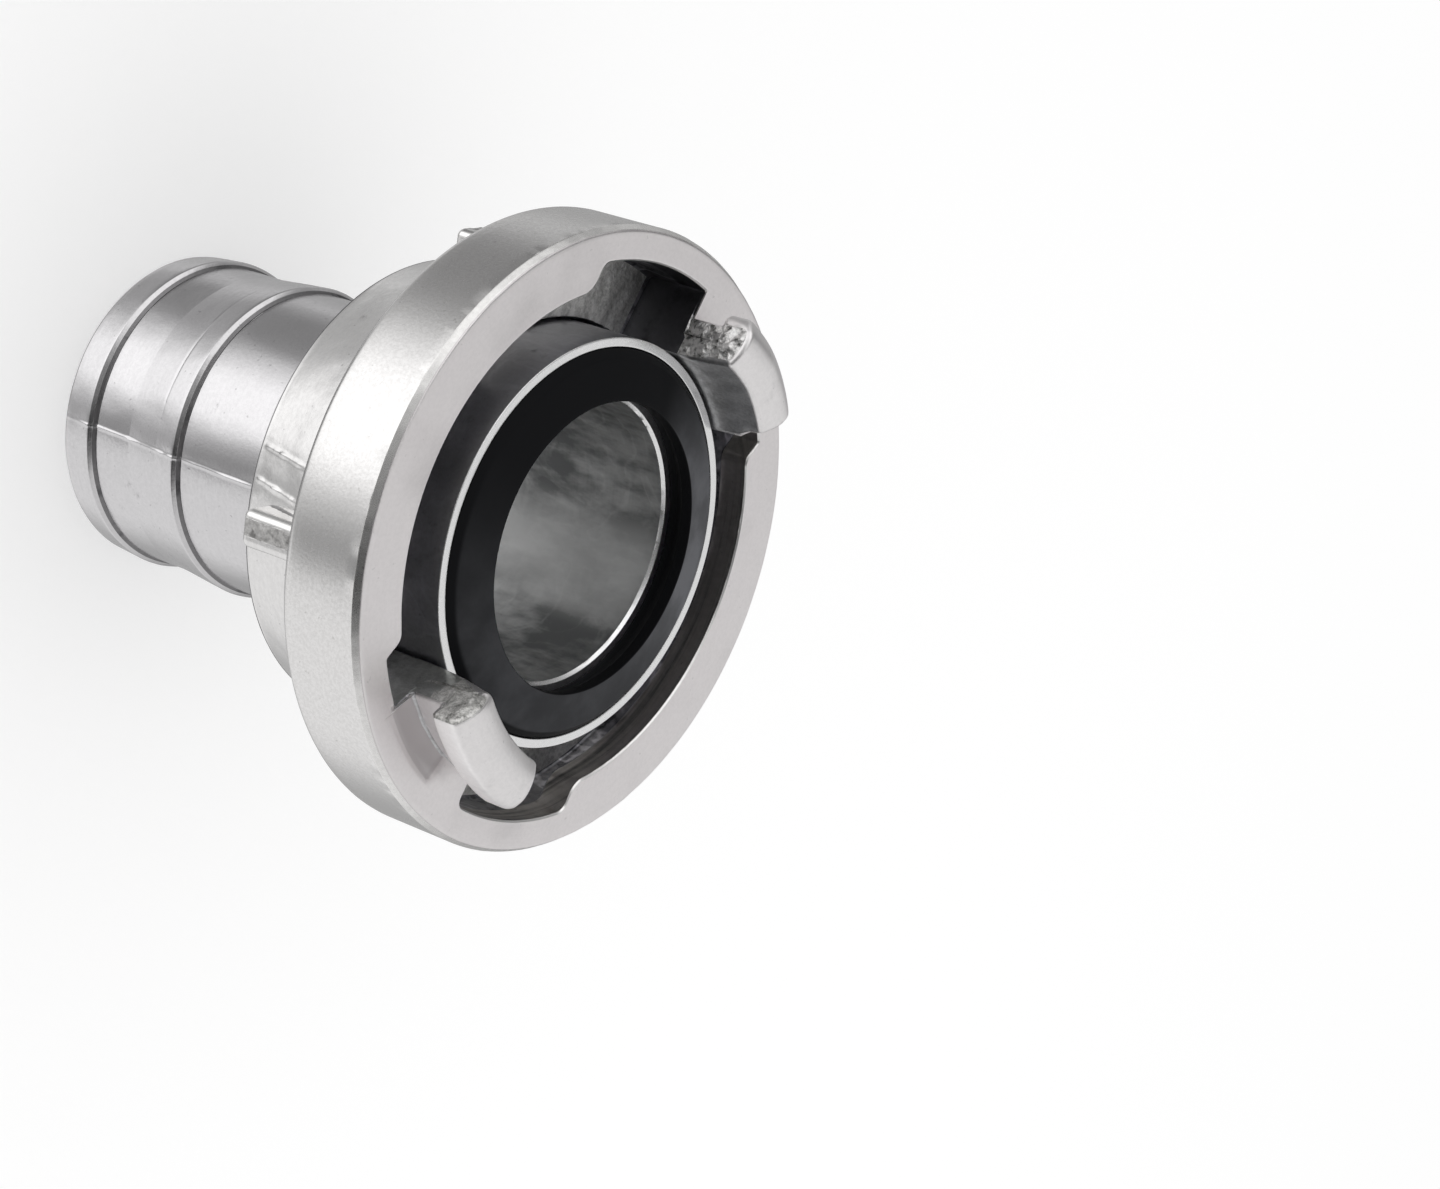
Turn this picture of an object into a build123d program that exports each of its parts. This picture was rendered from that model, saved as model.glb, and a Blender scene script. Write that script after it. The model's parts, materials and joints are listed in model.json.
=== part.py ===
"""Quarter-turn hose coupling, size C 52: a two-claw lug ring that turns on a barbed hose tail.

The coupling stands on the end of its hose tail, so the waterway runs along +Z from the
origin and the coupling face looks up. Its claws lie on the X axis.
Lengths are in millimetres and angles in degrees.
"""

import math
import os

from build123d import *

os.makedirs("parts", exist_ok=True)

# Whole coupling
face_height = 88.8  # from the tail's end up to the coupling face
claw_spacing = 66.0  # between the inner faces of the claws: the standard size
waterway_r = 22.8

# Hose tail: the part that the hose is pushed over
tail_wall = 2.4
barb_rise = 1.0
tail_end_rise = 0.5
first_barb_height = 5.9
second_barb_height = 25.4
barb_step_length = 0.9
barb_taper_length = 11.0
tail_end_round = 0.6
waterway_chamfer = 0.5

# Neck and collar of the hose tail, inside the lug ring
collar_step = 3.8
collar_length = 16.0
neck_length = 22.6
neck_root_length = 3.0
lip_width = 1.5
lip_round = 0.2

# Seal and the dovetail seat that holds it
seal_seat_depth = 3.0
seal_seat_flare = 0.5
seal_mouth_length = 0.7
seal_fit = 0.1
seal_bore_step = 0.3  # wider than the waterway
seal_lip_undercut = 1.3
seal_lip_thickness = 2.0
seal_rise = 2.5  # at its bore, over the coupling face
seal_rim_rise = 1.0  # the front slopes down to this rim
seal_rim_inset = 1.4
seal_rim_round = 0.8

# Lug ring
ring_wall = 5.4  # outside the undercut groove
ring_length = 15.6
ring_front_chamfer = 0.9
ring_front_chamfer_length = 1.3
ring_rear_round = 1.8
ring_overhang = 8.6  # beyond the hub
hub_length = 36.3
hub_taper = 4.2
hub_rear_chamfer = 0.8
hub_root_round = 2.5

# Claws, measured from the coupling face
claw_thickness = 6.7
claw_lead = 0.8
claw_height = 10.2  # to the edges of the domed crown
claw_crown_rise = 1.2
hook_overhang = 2.6
hook_underside = 5.3
hook_lip = 0.7
claw_half_angle = 16.2
claw_crown_round = 1.6
claw_inner_round = 1.0  # on the crown's inner edge

# Cavity for the mating claws: mouth, locking flange and the undercut groove behind it
cavity_depth = 11.4
flange_thickness = 5.4
stem_clearance = 0.4  # from a claw's stem to the flange's inner edge
hook_clearance = 1.9  # from a claw's hook to the groove's wall
slot_end_angle = 51.2  # at the groove's radius
slot_entry_angle = 54.6  # at the flange's inner edge
slot_corner_round = 2.4
slot_entry_round = 4.0
relief_inset = 0.7  # the reliefs are this much shallower than the slots
relief_end_angle = 27.6
relief_entry_angle = 30.0
relief_entry_round = 2.0

# Spanner lugs on the hub
spanner_lug_count = 4
spanner_lug_rise = 6.3  # over the hub's rear edge
spanner_lug_width = 6.0
spanner_lug_start = 5.7  # above the hub's rear face
spanner_lug_angle = 46.7
spanner_lug_round = 1.7

# Lock ring: a split spring wire, half in the neck and half in the lug ring
wire_r = 1.2
wire_gap_angle = 12.0
wire_height = 5.3  # above the hub's rear face
wire_fit = 0.15

# Running clearances between the lug ring and the hose tail
collar_clearance = 0.5
neck_clearance = 0.3
shoulder_clearance = 0.3
wire_clearance = 0.3

# Radii that follow from the sizes above, from the waterway outward
tail_valley_r = waterway_r + tail_wall
tail_crest_r = tail_valley_r + barb_rise
tail_end_r = tail_valley_r + tail_end_rise
seal_bore_r = waterway_r + seal_bore_step
seal_back_bore_r = seal_bore_r + seal_lip_undercut
claw_inner_r = claw_spacing / 2
collar_r = claw_inner_r - collar_clearance
neck_r = collar_r - collar_step
ring_bore_r = neck_r + neck_clearance
wire_centre_r = neck_r + neck_clearance / 2
seat_mouth_r = collar_r - lip_width
seat_floor_r = seat_mouth_r + seal_seat_flare
seal_rim_r = seat_mouth_r - seal_fit - seal_rim_inset
claw_crown_r = claw_inner_r + claw_lead
claw_stem_r = claw_inner_r + claw_thickness
claw_hook_r = claw_stem_r + hook_overhang
flange_inner_r = claw_stem_r + stem_clearance
groove_r = claw_hook_r + hook_clearance
relief_r = groove_r - relief_inset
ring_r = groove_r + ring_wall
hub_front_r = ring_r - ring_overhang
hub_rear_r = hub_front_r - hub_taper
spanner_lug_r = hub_rear_r + spanner_lug_rise
spanner_lug_root_r = hub_rear_r - 2  # inside the hub's wall

# Heights that follow from the sizes above
hub_rear_z = face_height - hub_length
ring_rear_z = face_height - ring_length
cavity_floor_z = face_height - cavity_depth
groove_roof_z = face_height - flange_thickness
collar_rear_z = face_height - collar_length
shoulder_z = collar_rear_z - shoulder_clearance
neck_rear_z = collar_rear_z - neck_length
seat_floor_z = face_height - seal_seat_depth
seal_front_z = face_height + seal_rise
seal_rim_z = face_height + seal_rim_rise
claw_top_z = face_height + claw_height
hook_z = face_height + hook_underside
wire_z = hub_rear_z + wire_height


def polar(radius, angle):
    """Point on a level plane, by its distance from the axis and its angle from +X."""
    turn = math.radians(angle)
    return (radius * math.cos(turn), radius * math.sin(turn))


def radial_plane(angle):
    """Upright plane through the axis: its X points outward at this angle and its Y points up."""
    turn = math.radians(angle)
    return Plane(origin=(0, 0, 0), x_dir=(math.cos(turn), math.sin(turn), 0),
                 z_dir=(math.sin(turn), -math.cos(turn), 0))


def corners_at(sketch, radius, angle):
    """Corners of a sketch at one radius, at this angle and opposite it."""
    spots = [Vector(*polar(radius, angle)), Vector(*polar(radius, angle + 180))]
    flat = [(corner, Vector(corner.X, corner.Y)) for corner in sketch.vertices()]
    return [corner for corner, place in flat if min((place - spot).length for spot in spots) < 0.05]


# Hose tail: barbed spigot, neck, collar and seal seat, one casting with the waterway through it
with BuildPart() as hose_tail:
    with BuildSketch(Plane.XZ) as tail_section:
        with BuildLine():
            Polyline(
                (waterway_r, waterway_chamfer),
                (waterway_r + waterway_chamfer, 0),
                (tail_end_r - tail_end_round, 0),
                (tail_end_r, tail_end_round),
                (tail_crest_r, first_barb_height),
                (tail_valley_r, first_barb_height + barb_step_length),
                (tail_valley_r, second_barb_height - barb_taper_length),
                (tail_crest_r, second_barb_height),
                (tail_valley_r, second_barb_height + barb_step_length),
                (tail_valley_r, neck_rear_z - neck_root_length),
                (neck_r, neck_rear_z),
                (neck_r, collar_rear_z),
                (collar_r, collar_rear_z),
                (collar_r, face_height),
                (seat_mouth_r, face_height),
                (seat_mouth_r, face_height - seal_mouth_length),
                (seat_floor_r, seat_floor_z),
                (waterway_r + waterway_chamfer, seat_floor_z),
                (waterway_r, seat_floor_z - waterway_chamfer),
                close=True,
            )
        make_face()
        with Locations((wire_centre_r, wire_z)):
            Circle(wire_r + wire_fit, mode=Mode.SUBTRACT)
    revolve(axis=Axis.Z)
    lip_edges = hose_tail.edges().filter_by(GeomType.CIRCLE).group_by(Axis.Z)[-1]
    fillet(lip_edges, lip_round)

hose_tail.part.label = "hose_tail"
export_step(hose_tail.part, "parts/hose_tail.step")

# Seal: a moulded ring whose foot fills the seat and whose sloped front stands over the face
with BuildPart() as seal:
    with BuildSketch(Plane.XZ) as seal_section:
        with BuildLine():
            Polyline(
                (seal_back_bore_r, seat_floor_z),
                (seat_floor_r - seal_fit, seat_floor_z),
                (seat_mouth_r - seal_fit, face_height - seal_mouth_length),
                (seat_mouth_r - seal_fit, face_height),
                (seal_rim_r, seal_rim_z),
                (seal_bore_r, seal_front_z),
                (seal_bore_r, seal_front_z - seal_lip_thickness),
                (seal_back_bore_r, seal_front_z - 2 * seal_lip_thickness),
                close=True,
            )
        make_face()
        fillet(seal_section.vertices().sort_by_distance((seal_rim_r, seal_rim_z))[0], seal_rim_round)
    revolve(axis=Axis.Z)

seal.part.label = "seal"
export_step(seal.part, "parts/seal.step")

# Lock ring: the wire is cut once, so that it can be spread over the collar's neck
with BuildPart() as lock_ring:
    with BuildSketch(radial_plane(wire_gap_angle / 2)) as wire_section:
        with Locations((wire_centre_r, wire_z)):
            Circle(wire_r)
    revolve(axis=Axis.Z, revolution_arc=360 - wire_gap_angle)

lock_ring.part.label = "lock_ring"
export_step(lock_ring.part, "parts/lock_ring.step")

# Lug ring: grip ring, hub, flange and claws, one casting
with BuildPart() as lug_ring:
    # Body of revolution, with the flange a little too deep before the mouth is cut
    with BuildSketch(Plane.XZ) as ring_section:
        with BuildLine():
            Polyline(
                (ring_bore_r, hub_rear_z),
                (hub_rear_r - hub_rear_chamfer, hub_rear_z),
                (hub_rear_r, hub_rear_z + hub_rear_chamfer),
                (hub_front_r, ring_rear_z),
                (ring_r, ring_rear_z),
                (ring_r, face_height - ring_front_chamfer_length),
                (ring_r - ring_front_chamfer, face_height),
                (claw_stem_r, face_height),
                (claw_stem_r, groove_roof_z),
                (groove_r, groove_roof_z),
                (groove_r, cavity_floor_z),
                (claw_inner_r, cavity_floor_z),
                (claw_inner_r, shoulder_z),
                (ring_bore_r, shoulder_z),
                close=True,
            )
        make_face()
        fillet(ring_section.vertices().sort_by_distance((ring_r, ring_rear_z))[0], ring_rear_round)
        fillet(ring_section.vertices().sort_by_distance((hub_front_r, ring_rear_z))[0], hub_root_round)
        with Locations((wire_centre_r, wire_z)):
            Circle(wire_r + wire_clearance, mode=Mode.SUBTRACT)
    revolve(axis=Axis.Z)

    # Mouth in the flange: a round opening, two slots for the mating claws and two reliefs
    with BuildSketch(Plane.XY.offset(face_height)) as mouth:
        Circle(flange_inner_r)
        for reach, end, entry in (
            (groove_r, slot_end_angle, slot_entry_angle),
            (relief_r, -relief_end_angle, -relief_entry_angle),
        ):
            claw_side = math.copysign(claw_half_angle, end)
            for side in (0, 180):
                with BuildLine():
                    Line((0, 0), polar(reach, side + claw_side))
                    CenterArc((0, 0), reach, side + claw_side, end - claw_side)
                    Polyline(polar(reach, side + end), polar(flange_inner_r, side + entry), (0, 0))
                make_face()
        fillet(corners_at(mouth, flange_inner_r, slot_entry_angle), slot_entry_round)
        fillet(corners_at(mouth, groove_r, slot_end_angle), slot_corner_round)
        fillet(corners_at(mouth, flange_inner_r, -relief_entry_angle), relief_entry_round)
    extrude(amount=-flange_thickness, mode=Mode.SUBTRACT)

    # Claws: each rises from the cavity's floor, fills the groove behind it and ends in a hook
    for side in (0, 180):
        with BuildSketch(radial_plane(side - claw_half_angle)) as claw_section:
            with BuildLine():
                Polyline(
                    (claw_hook_r, claw_top_z),
                    (claw_hook_r, hook_z + hook_lip),
                    (claw_hook_r - hook_lip, hook_z),
                    (claw_stem_r, hook_z),
                    (claw_stem_r, face_height),
                    (groove_r, face_height),
                    (groove_r, cavity_floor_z),
                    (claw_inner_r, cavity_floor_z),
                    (claw_inner_r, face_height),
                    (claw_crown_r, claw_top_z),
                )
                ThreePointArc(
                    (claw_crown_r, claw_top_z),
                    ((claw_crown_r + claw_hook_r) / 2, claw_top_z + claw_crown_rise),
                    (claw_hook_r, claw_top_z),
                )
            make_face()
            for corner_r, corner_round in ((claw_hook_r, claw_crown_round), (claw_crown_r, claw_inner_round)):
                fillet(claw_section.vertices().sort_by_distance((corner_r, claw_top_z))[0], corner_round)
        revolve(axis=Axis.Z, revolution_arc=2 * claw_half_angle)

    # Spanner lugs on the hub, under the ring
    with BuildSketch(Plane.XY.offset(hub_rear_z + spanner_lug_start)) as lug_outline:
        with PolarLocations(0, spanner_lug_count, start_angle=spanner_lug_angle):
            with Locations(((spanner_lug_root_r + spanner_lug_r) / 2, 0)):
                Rectangle(spanner_lug_r - spanner_lug_root_r, spanner_lug_width)
        corners = lug_outline.vertices()
        outer = [corner for corner in corners if math.hypot(corner.X, corner.Y) > spanner_lug_r]
        fillet(outer, spanner_lug_round)
    extrude(amount=ring_rear_z - hub_rear_z - spanner_lug_start)

lug_ring.part.label = "lug_ring"
export_step(lug_ring.part, "parts/lug_ring.step")
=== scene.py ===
"""Looks of the quarter-turn hose coupling: cast and turned aluminium, a black seal and a steel lock wire.

The mesh code works in millimetres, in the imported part's own frame: Z runs along the waterway and the
claws lie on the X axis. Every mesh is scaled to metres when it is made. Angles are in degrees.
"""

import json
import math

import bmesh
import bpy
import numpy as np
from mathutils import Matrix, Vector, noise


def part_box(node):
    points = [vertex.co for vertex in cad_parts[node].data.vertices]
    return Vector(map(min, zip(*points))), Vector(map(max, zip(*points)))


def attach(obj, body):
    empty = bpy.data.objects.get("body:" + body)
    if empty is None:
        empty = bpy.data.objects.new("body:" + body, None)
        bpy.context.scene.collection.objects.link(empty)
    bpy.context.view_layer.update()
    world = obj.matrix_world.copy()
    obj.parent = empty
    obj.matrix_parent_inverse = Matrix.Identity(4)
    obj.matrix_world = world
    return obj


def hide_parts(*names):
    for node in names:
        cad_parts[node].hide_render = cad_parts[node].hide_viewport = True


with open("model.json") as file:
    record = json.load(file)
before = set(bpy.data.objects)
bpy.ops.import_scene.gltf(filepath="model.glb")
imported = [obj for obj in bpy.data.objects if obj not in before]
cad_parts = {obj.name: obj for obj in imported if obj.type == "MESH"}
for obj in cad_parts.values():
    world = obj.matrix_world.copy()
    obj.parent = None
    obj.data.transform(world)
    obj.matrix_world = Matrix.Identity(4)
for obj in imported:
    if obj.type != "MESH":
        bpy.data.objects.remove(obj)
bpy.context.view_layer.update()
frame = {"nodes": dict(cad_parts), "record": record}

MM = 0.001
mounts = {mount["name"]: mount for mount in frame["record"]["mounts"]}


def reach(node):
    """Outer radius of a node, and its lowest and highest point."""
    low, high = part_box(node)
    return high.x / MM, low.z / MM, high.z / MM


# Sizes taken from the frame
face_z = mounts["coupling_face"]["pos_m"][2] / MM
waterway_r = mounts["waterway"]["dims"]["r_mm"]
ring_r, hub_rear_z, crown_z = reach("lug_ring")
collar_r = reach("hose_tail")[0]
seal_r, seat_floor_z, seal_front_z = reach("seal")
_, wire_low_z, wire_high_z = reach("lock_ring")

# Sizes of the lug ring, as in the CAD source
ring_rear_z = face_z - 15.6
hub_front_r = ring_r - 8.6
hub_rear_r = hub_front_r - 4.2
hub_rear_chamfer = 0.8
claw_inner_r = 33.0
claw_stem_r = claw_inner_r + 6.7
claw_hook_r = claw_stem_r + 2.6
claw_lead = 0.8
claw_crown_rise = 1.2
claw_top_z = crown_z - claw_crown_rise
claw_half_angle = 16.2
slot_end_angle = 51.2
slot_entry_angle = 54.6
slot_corner_round = 2.4
slot_entry_round = 4.0
relief_end_angle = 27.6
relief_entry_angle = 30.0
relief_entry_round = 2.0
hook_z = face_z + 5.3
flange_inner_r = claw_stem_r + 0.4
groove_r = claw_hook_r + 1.9
relief_r = groove_r - 0.7
roof_z = face_z - 5.4
floor_z = face_z - 11.4
ring_bore_r = 29.0
wire_centre_r = 28.85
wire_z = (wire_low_z + wire_high_z) / 2
lug_angle = 46.7
lug_width = 6.0
lug_r = hub_rear_r + 6.3
lug_low_z = hub_rear_z + 5.7

# Sizes of the hose tail, as in the CAD source
tail_valley_r = waterway_r + 2.4
tail_crest_r = tail_valley_r + 1.0
tail_end_r = tail_valley_r + 0.5
first_barb_z = 5.9
second_barb_z = 25.4
barb_step = 0.9
barb_taper = 11.0
waterway_chamfer = 0.5
neck_r = collar_r - 3.8
collar_rear_z = face_z - 16.0
neck_rear_z = collar_rear_z - 22.6
lip_inner_r = collar_r - 1.5
seal_rim_r = lip_inner_r - 1.5
seal_rim_z = face_z + 1.0
seal_bore_r = 23.1
seal_undercut_r = 24.4


# Outlines

def fillet_points(before, here, after, radius):
    """Points of a rounded corner. The round shrinks where the straights beside it are short."""
    if radius == 0:
        return [here]
    steps = 3 if radius < 0.5 else 5 if radius < 1.5 else 8
    to_before, to_after = before - here, after - here
    len_before, len_after = np.linalg.norm(to_before), np.linalg.norm(to_after)
    if min(len_before, len_after) < 1e-6:
        return [here] * (steps + 1)
    to_before, to_after = to_before / len_before, to_after / len_after
    half = math.acos(np.clip(to_before @ to_after, -1, 1)) / 2
    if half > math.radians(89.5):
        return [here] * (steps + 1)
    tangent = min(radius / math.tan(half), 0.45 * len_before, 0.45 * len_after)
    bisector = (to_before + to_after) / np.linalg.norm(to_before + to_after)
    centre = here + bisector * tangent / math.cos(half)
    start, end = here + to_before * tangent - centre, here + to_after * tangent - centre
    sweep = math.pi - 2 * half
    size = np.linalg.norm(start)
    return [centre + (math.sin(sweep * (1 - t)) * start + math.sin(sweep * t) * end) / math.sin(sweep)
            if size > 1e-9 else here for t in np.linspace(0, 1, steps + 1)]


def trace(corners, closed=True):
    """Outline through rounded corners (r, z, round, steps, zone): its points, and each stretch's zone."""
    places = [np.array(corner[:2], float) for corner in corners]
    count = len(corners)
    arcs = []
    for k, (_, _, radius, _, _) in enumerate(corners):
        inner = closed or 0 < k < count - 1
        arcs.append(fillet_points(places[k - 1], places[k], places[(k + 1) % count], radius if inner else 0))
    points, zones = [], []
    for k, (_, _, _, steps, zone) in enumerate(corners):
        points += arcs[k]
        zones += [zone] * len(arcs[k])
        if k == count - 1 and not closed:
            break
        start, end = arcs[k][-1], arcs[(k + 1) % count][0]
        inner = [start + (end - start) * t for t in np.linspace(0, 1, steps + 1)[1:-1]]
        points += inner
        zones += [zone] * len(inner)
    return np.array(points), zones


def wire_groove(radius, outward):
    """Corners of the half-round groove for the lock wire, on a wall that is traced downward."""
    spots = np.linspace(90, -90, 9)
    side = 1 if outward else -1
    return [(wire_centre_r + side * radius * math.cos(math.radians(a)),
             wire_z + radius * math.sin(math.radians(a)), 0, 1, "bore") for a in spots]


# Meshes

def turned_grid(angles, outlines, zones, zone_order, closed=True):
    """Mesh data of an outline carried round the axis; the outline may change with the angle."""
    turns = np.radians(angles)
    radii, heights = outlines[:, :, 0], outlines[:, :, 1]
    count, size = radii.shape
    verts = np.stack([radii * np.cos(turns)[:, None], radii * np.sin(turns)[:, None], heights], axis=2)
    faces, slots = [], []
    for i in range(count if closed else count - 1):
        j = (i + 1) % count
        for k in range(size):
            m = (k + 1) % size
            faces.append((i * size + k, j * size + k, j * size + m, i * size + m))
            slots.append(zone_order.index(zones[k]))
    return verts.reshape(-1, 3).tolist(), faces, slots


def make_mesh(name, verts, faces, slots, materials):
    """Closed mesh object in metres, with its doubled points merged."""
    mesh = bpy.data.meshes.new(name)
    mesh.from_pydata([[c * MM for c in v] for v in verts], [], faces)
    mesh.polygons.foreach_set("material_index", slots)
    work = bmesh.new()
    work.from_mesh(mesh)
    bmesh.ops.remove_doubles(work, verts=work.verts, dist=0.002 * MM)
    bmesh.ops.dissolve_degenerate(work, edges=work.edges, dist=0.001 * MM)
    bmesh.ops.recalc_face_normals(work, faces=work.faces)
    work.to_mesh(mesh)
    work.free()
    for material in materials:
        mesh.materials.append(material)
    piece = bpy.data.objects.new(name, mesh)
    bpy.context.scene.collection.objects.link(piece)
    return piece


def roughen(piece, seed, zones, **recipes):
    """Moves each point along its normal by noise. recipes: zone=[(height mm, size mm), ...]."""
    layers_of = {zones.index(zone): layers for zone, layers in recipes.items()}
    work = bmesh.new()
    work.from_mesh(piece.data)
    work.normal_update()
    shift = Vector((seed * 17.3, seed * 5.1, seed * 9.7))
    for vert in work.verts:
        slots = {face.material_index for face in vert.link_faces}
        layers = min((layers_of.get(slot, []) for slot in slots), key=len)
        lift = sum(height * noise.noise(vert.co / (size * MM) + shift) for height, size in layers)
        vert.co += vert.normal * lift * MM
    work.to_mesh(piece.data)
    work.free()


def shade(piece):
    """Smooth shading with hard edges where faces meet at a wide angle."""
    hard_angle = 32
    piece.data.shade_smooth()
    piece.data.set_sharp_from_angle(angle=math.radians(hard_angle))


def unite(piece, others):
    """Joins closed pieces into one closed mesh."""
    for other in others:
        joiner = piece.modifiers.new("join", "BOOLEAN")
        joiner.operation = "UNION"
        joiner.solver = "MANIFOLD"
        joiner.object = other
    graph = bpy.context.evaluated_depsgraph_get()
    joined = bpy.data.meshes.new_from_object(piece.evaluated_get(graph))
    piece.modifiers.clear()
    piece.data = joined
    for other in others:
        bpy.data.objects.remove(other)


# Shader nodes

def add(tree, kind, inputs=(), **settings):
    """New shader node. inputs: socket name or number -> value or the socket that feeds it."""
    node = tree.nodes.new("ShaderNode" + kind)
    for key, value in settings.items():
        setattr(node, key, value)
    for key, value in dict(inputs).items():
        if isinstance(value, bpy.types.NodeSocket):
            tree.links.new(value, node.inputs[key])
        else:
            node.inputs[key].default_value = value
    return node


def calc(tree, operation, *values):
    """Result socket of a Math node."""
    return add(tree, "Math", enumerate(values), operation=operation).outputs[0]


def remap(tree, value, low, high, to_low=0.0, to_high=1.0):
    """Value moved smoothly from one range to another, held at its ends."""
    sockets = {"Value": value, "From Min": low, "From Max": high, "To Min": to_low, "To Max": to_high}
    return add(tree, "MapRange", sockets, interpolation_type="SMOOTHSTEP", clamp=True).outputs["Result"]


def blend_colours(tree, factor, first, second):
    """Colour between two others."""
    node = add(tree, "Mix", data_type="RGBA")
    for key, value in ((0, factor), (6, first), (7, second)):
        if isinstance(value, bpy.types.NodeSocket):
            tree.links.new(value, node.inputs[key])
        else:
            node.inputs[key].default_value = value
    return node.outputs[2]


def noise_at(tree, vector, scale, detail, roughness):
    """Noise value, 0 to 1, with scale in features per millimetre."""
    sockets = {"Vector": vector, "Scale": scale, "Detail": detail, "Roughness": roughness}
    return add(tree, "TexNoise", sockets).outputs["Fac"]


def axis_distance(tree, parts):
    """Distance of a place from the Z axis, or the level share of a direction."""
    squares = [calc(tree, "MULTIPLY", parts[k], parts[k]) for k in (0, 1)]
    return calc(tree, "SQRT", calc(tree, "ADD", *squares))


def facing(tree, parts, distance, azimuth):
    """Cosine of the angle round the Z axis from an azimuth: 1 there, -1 on the other side."""
    turn = math.radians(azimuth)
    along = calc(tree, "ADD", calc(tree, "MULTIPLY", parts[0], math.cos(turn)),
                 calc(tree, "MULTIPLY", parts[1], math.sin(turn)))
    return calc(tree, "DIVIDE", along, distance)


def coordinates(tree):
    """Object coordinates in mm, the same drawn out along the turning marks, their parts and the radius."""
    drawn_out = 0.03
    place = add(tree, "TexCoord").outputs["Object"]
    scaled = add(tree, "Mapping", {"Vector": place, "Scale": (1 / MM, 1 / MM, 1 / MM)}).outputs[0]
    parts = add(tree, "SeparateXYZ", {0: scaled}).outputs
    radius = axis_distance(tree, parts)
    across = calc(tree, "ADD", radius, parts[2])
    along = [calc(tree, "MULTIPLY", parts[k], drawn_out) for k in (0, 1)]
    turned = add(tree, "CombineXYZ", {0: along[0], 1: along[1], 2: across}).outputs[0]
    return scaled, turned, parts, radius


def new_material(name):
    """Material with the usual shader: the material, its node tree and the shader."""
    material = bpy.data.materials.new(name)
    material.use_nodes = True
    return material, material.node_tree, material.node_tree.nodes["Principled BSDF"]


def add_bump(tree, shader, height):
    """Bump on the whole surface, from a height in mm."""
    bump = add(tree, "Bump", {"Height": height, "Strength": 1.0, "Distance": MM})
    tree.links.new(bump.outputs[0], shader.inputs["Normal"])


def metal(name, colour, dark, roughness, lines=0.0, grain=0.0, grain_scale=1.5, dirt=0.0, dirt_scale=0.2,
          dirt_edge=0.23, dirt_detail=5.0, dirt_turned=False, dirt_stretch=1.0, reflection_side=None, specks=0.0,
          streaks=0.06, mottle=0.12, film=0.0, pocket=None):
    """Aluminium surface.

    lines and grain are bump heights in mm. dirt, specks, streaks, mottle and film are shares of the dark
    colour: clouds, spots, turning marks, grain, and a film with thin bright wisps. dirt_scale, dirt_edge
    and dirt_detail set how many clouds there are to a millimetre, how soft their edges are and how fine
    their outlines. dirt_turned draws them out along the turning marks, and a dirt_stretch under 1 draws
    them out along Z. The side argument is the azimuth of a painted reflection: the stains fade on that
    side, which leaves a lighter streak along Z. The pocket colour is painted shade for a face's parts
    that lie below the coupling face.
    """
    material, tree, shader = new_material(name)
    shader.inputs["Metallic"].default_value = 1.0
    scaled, turned, parts, radius = coordinates(tree)
    drawn = add(tree, "Mapping", {"Vector": scaled, "Scale": (1, 1, dirt_stretch)}).outputs[0]
    cloud = noise_at(tree, turned if dirt_turned else drawn, dirt_scale, dirt_detail, 0.6)
    fine = noise_at(tree, scaled, grain_scale, 4.0, 0.65)
    marks = noise_at(tree, turned, 2.2, 6.0, 0.7)
    cloud_start = 0.72 - 0.5 * dirt
    soil = remap(tree, cloud, cloud_start, cloud_start + dirt_edge)
    speck = remap(tree, noise_at(tree, scaled, 1.1, 2.0, 0.5), 0.72 - specks, 0.78 - specks)
    tone = calc(tree, "MULTIPLY", soil, 0.9)
    tone = calc(tree, "MULTIPLY_ADD", remap(tree, marks, 0.3, 0.7), streaks, tone)
    tone = calc(tree, "MULTIPLY_ADD", remap(tree, fine, 0.35, 0.65), mottle, tone)
    if film:
        swirl = add(tree, "TexNoise", {"Vector": scaled, "Scale": 0.09, "Detail": 3.0, "Distortion": 1.2})
        beside_wisp = calc(tree, "ABSOLUTE", calc(tree, "SUBTRACT", swirl.outputs["Fac"], 0.5))
        tone = calc(tree, "MULTIPLY_ADD", remap(tree, beside_wisp, 0.0, 0.06), film, tone)
    stain = calc(tree, "MINIMUM", calc(tree, "MAXIMUM", tone, calc(tree, "MULTIPLY", speck, 0.6)), 1.0)
    # Painted reflection: the stains fade on the side that faces the given azimuth, leaving a lighter streak
    # along Z.
    if reflection_side is not None:
        painted_reflection = remap(tree, facing(tree, parts, radius, reflection_side), 0.88, 0.995, 1.0, 0.3)
        stain = calc(tree, "MULTIPLY", stain, painted_reflection)
    base = blend_colours(tree, stain, (*colour, 1), (*dark, 1))
    # Painted shade: the face's parts below the coupling face, in the recesses beside the claws, take the
    # darker pocket colour.
    if pocket:
        sunk = remap(tree, parts[2], face_z - 0.2, face_z - 0.06, 1.0, 0.0)
        base = blend_colours(tree, sunk, base, blend_colours(tree, stain, (*pocket, 1), (*dark, 1)))
    tree.links.new(base, shader.inputs["Base Color"])
    rough = calc(tree, "MULTIPLY_ADD", fine, 0.12, calc(tree, "MULTIPLY_ADD", soil, 0.15, roughness - 0.06))
    tree.links.new(calc(tree, "MULTIPLY_ADD", marks, 0.06, rough), shader.inputs["Roughness"])
    add_bump(tree, shader, calc(tree, "MULTIPLY_ADD", marks, lines, calc(tree, "MULTIPLY", fine, grain)))
    return material


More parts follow.
